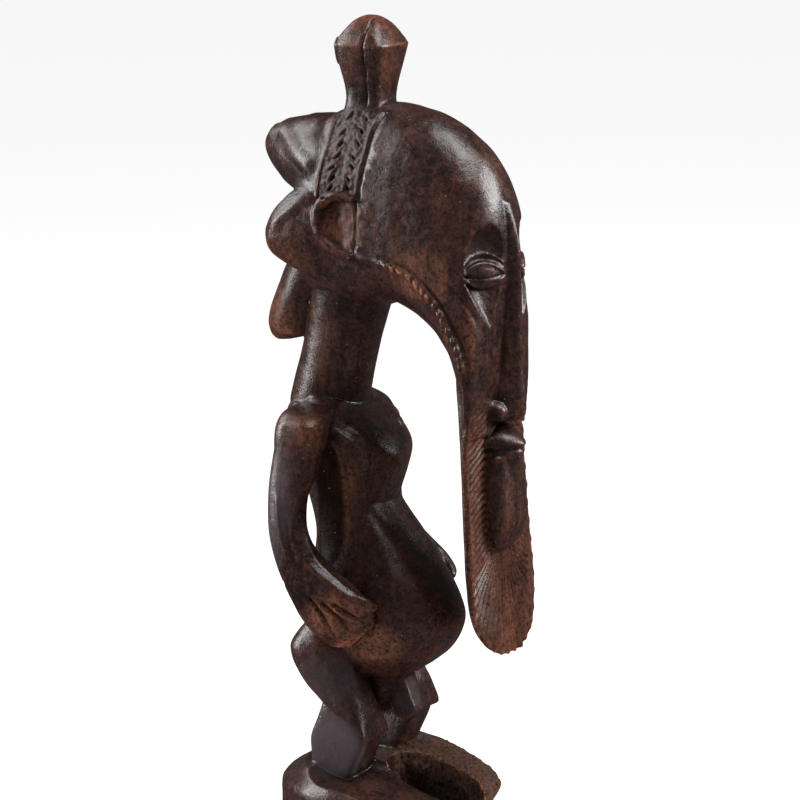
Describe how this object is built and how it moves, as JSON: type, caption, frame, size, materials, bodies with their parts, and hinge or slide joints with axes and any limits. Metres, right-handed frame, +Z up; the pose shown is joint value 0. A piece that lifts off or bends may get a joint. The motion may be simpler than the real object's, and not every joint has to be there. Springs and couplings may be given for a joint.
{
  "type": "ancestor figure",
  "caption": "Standing wooden ancestor figure with a cruciform coiffure, a hood-like overhanging head, a long hanging bearded face, hands on a round belly and a round plinth.",
  "frame": {"origin": "middle of the plinth's underside", "axes": "+Z up; the figure looks along -Y; its left side is +X"},
  "size_m": [0.104, 0.1435, 0.4],
  "materials": {
    "carved_figure": "dark hardwood with a worn satin patina"
  },
  "bodies": {
    "root": {"carved_figure": "carved_figure"}
  },
  "joints": []
}
